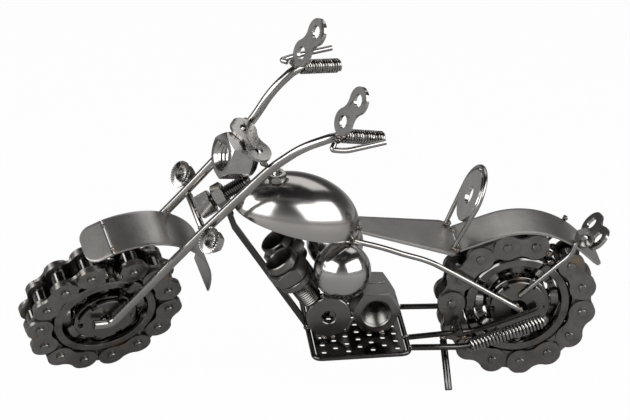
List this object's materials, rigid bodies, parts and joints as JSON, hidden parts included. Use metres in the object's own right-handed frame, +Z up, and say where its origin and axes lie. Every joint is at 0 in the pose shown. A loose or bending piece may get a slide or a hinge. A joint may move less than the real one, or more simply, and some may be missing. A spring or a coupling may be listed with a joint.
{
  "type": "motorcycle sculpture",
  "caption": "Welded scrap-metal motorcycle sculpture: roller-chain wheels on ball bearings, raked steering fork, domed tank, flat seat, nut-and-ball engine, leaning on a kickstand.",
  "frame": {"origin": "on the ground, under the middle of the bounding box, with both wheels and the kickstand on the ground", "axes": "+X to the rear of the motorcycle, +Y to its right, +Z up; it leans 15 degrees to its left on the kickstand"},
  "size_m": [0.2558, 0.1054, 0.167],
  "materials": {
    "chain_steel": "satin, darkened by heat, tan tint by some pins",
    "race_steel": "ground and polished",
    "polished_ball": "mirror polished",
    "tank_steel": "finely brushed, lacquered",
    "sheet_steel": "satin sheet, lacquered",
    "bright_rod": "bright drawn rod",
    "black_rod": "dark, glossy lacquer",
    "bright_nut": "plated",
    "dark_steel": "satin, machined",
    "spring_steel": "bright wire"
  },
  "bodies": {
    "frame": {"down_tube": "black_rod", "upper_rail_left": "bright_rod", "lower_rail_left": "black_rod", "upper_rail_right": "bright_rod", "lower_rail_right": "black_rod", "base_plate": "black_rod", "base_loop": "black_rod", "spark_plug_left": "dark_steel", "spark_plug_right": "dark_steel", "engine_nut_left": "dark_steel", "engine_disc_left": "dark_steel", "crank_ball_left": "polished_ball", "engine_nut_right": "dark_steel", "engine_disc_right": "dark_steel", "crank_ball_right": "polished_ball", "tank_shell": "tank_steel", "tank_cap_nut": "bright_nut", "seat_plate": "sheet_steel", "rear_fender": "sheet_steel", "backrest_washer": "dark_steel", "backrest_hoop": "bright_rod", "tail_stay_left": "bright_rod", "tail_stay_right": "bright_rod", "tail_nut": "bright_nut", "tail_plate": "bright_nut", "exhaust_pipe": "black_rod", "exhaust_spring": "spring_steel", "foot_peg_left": "bright_rod", "foot_peg_right": "bright_rod", "rear_inner_race": "race_steel", "rear_hub_disc_left": "dark_steel", "rear_hub_disc_right": "dark_steel", "head_nut": "bright_nut", "kickstand": "black_rod"},
    "fork": {"fork_bar_left": "bright_rod", "grip_spring_left": "spring_steel", "fork_bar_right": "bright_rod", "grip_spring_right": "spring_steel", "fork_bridge": "bright_rod", "stem_bolt": "bright_nut", "headlight_nut": "bright_nut", "headlight_back": "black_rod", "yoke_plate": "bright_nut", "signal_nut_left": "bright_nut", "signal_nut_right": "bright_nut", "mirror_left": "bright_nut", "mirror_right": "bright_nut", "lever_left": "bright_rod", "lever_right": "bright_rod", "front_fender": "sheet_steel", "front_fender_nose": "sheet_steel", "front_inner_race": "race_steel", "front_hub_disc_left": "dark_steel", "front_hub_disc_right": "dark_steel"},
    "front_wheel": {"front_outer_race": "race_steel", "front_chain": "chain_steel"},
    "front_cage": {"front_ball_cage": "polished_ball"},
    "rear_wheel": {"rear_outer_race": "race_steel", "rear_chain": "chain_steel"},
    "rear_cage": {"rear_ball_cage": "polished_ball"}
  },
  "joints": [
    {"name": "steering", "type": "hinge", "parent": "frame", "child": "fork", "pos_m": [-0.04247, 0.00043, 0.08722], "axis": [0.835, -0.1333, 0.5338], "range_deg": [-60.6, 9.4]},
    {"name": "front_spin", "type": "hinge", "parent": "fork", "child": "front_wheel", "pos_m": [-0.09221, 0.02541, 0.03268], "axis": [-0.2477, 0.7752, 0.5811], "continuous": true},
    {"name": "front_cage_spin", "type": "hinge", "parent": "fork", "child": "front_cage", "pos_m": [-0.09221, 0.02541, 0.03268], "axis": [-0.2477, 0.7752, 0.5811], "continuous": true},
    {"name": "rear_spin", "type": "hinge", "parent": "frame", "child": "rear_wheel", "pos_m": [0.09006, 0.01572, 0.03577], "axis": [-0.0111, 0.9659, 0.2586], "continuous": true},
    {"name": "rear_cage_spin", "type": "hinge", "parent": "frame", "child": "rear_cage", "pos_m": [0.09006, 0.01572, 0.03577], "axis": [-0.0111, 0.9659, 0.2586], "continuous": true}
  ],
  "couplings": [
    {"joint": "front_cage_spin", "follows": "front_spin", "ratio": 0.6185},
    {"joint": "rear_cage_spin", "follows": "rear_spin", "ratio": 0.6185}
  ]
}
